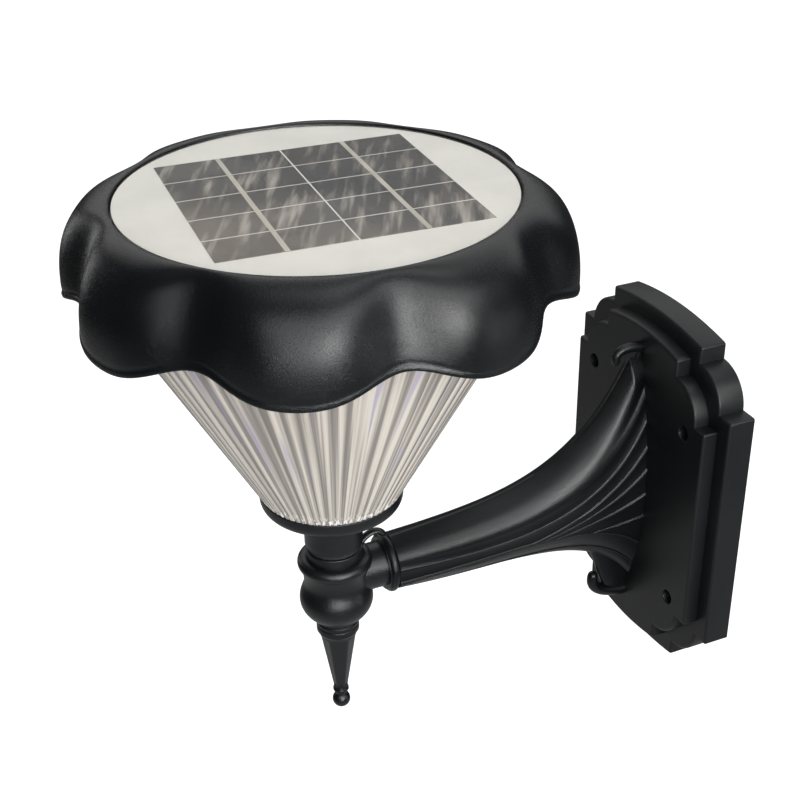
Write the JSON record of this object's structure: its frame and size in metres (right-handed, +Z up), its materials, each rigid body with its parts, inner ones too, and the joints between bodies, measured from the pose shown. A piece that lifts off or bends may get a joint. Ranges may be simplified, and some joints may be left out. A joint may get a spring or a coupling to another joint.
{
  "type": "solar wall light",
  "caption": "Solar wall light: a scalloped cap with a round panel on a fluted cone lens, turning in a socket on a fluted bracket arm.",
  "frame": {"origin": "centre of the wall plate's back face, the middle of its four wall screw holes", "axes": "+Z up, +Y into the wall, the lamp stands out towards -Y, +X across"},
  "size_m": [0.1998, 0.2734, 0.2627],
  "materials": {
    "black_plastic": "satin, fine grain",
    "tray_plastic": "satin",
    "white_plastic": "gloss",
    "white_board": "gloss",
    "steel": "zinc plated",
    "seal_rubber": "matt",
    "clear_lens": "clear, fluted",
    "emitter": "gloss",
    "panel_white": "gloss",
    "cell_dark": "gloss",
    "ribbon": "tinned, satin",
    "panel_clear": "clear, gloss",
    "battery_wrap": "shrink film",
    "green_board": "solder mask",
    "component_black": "moulded",
    "button_red": "satin",
    "lead_red": "insulation"
  },
  "bodies": {
    "bracket": {"wall_plate": "black_plastic", "bracket_arm": "black_plastic", "arm_screws": "steel", "socket": "black_plastic", "stub_screw": "steel", "finial": "black_plastic"},
    "head": {"neck_cup": "black_plastic", "neck_seal": "seal_rubber", "neck_washer": "steel", "neck_screw": "steel", "lens": "clear_lens", "cup_screws": "steel", "cap": "black_plastic", "cap_tray": "tray_plastic", "tray_screws": "steel", "reflector_plate": "white_plastic", "plate_screws": "steel", "led_board": "white_board", "leds": "emitter", "led_board_screws": "steel", "panel_board": "panel_white", "solar_cells": "cell_dark", "cell_ribbons": "ribbon", "panel_cover": "panel_clear", "panel_adhesive": "seal_rubber", "battery_holder": "tray_plastic", "battery": "battery_wrap", "battery_contacts": "steel", "control_board": "green_board", "board_parts": "component_black", "board_screws": "steel", "switch_body": "component_black", "panel_leads": "lead_red", "battery_leads": "lead_red", "light_leads": "lead_red"},
    "button": {"switch_button": "button_red"}
  },
  "joints": [
    {"name": "head_turn", "type": "hinge", "parent": "bracket", "child": "head", "pos_m": [0, -0.1735, 0], "axis": [0, 0, 1], "continuous": true},
    {"name": "switch_press", "type": "slide", "parent": "head", "child": "button", "axis": [0, 0, 1], "range_m": [0, 0.0016], "stiffness_N_per_m": 600}
  ]
}
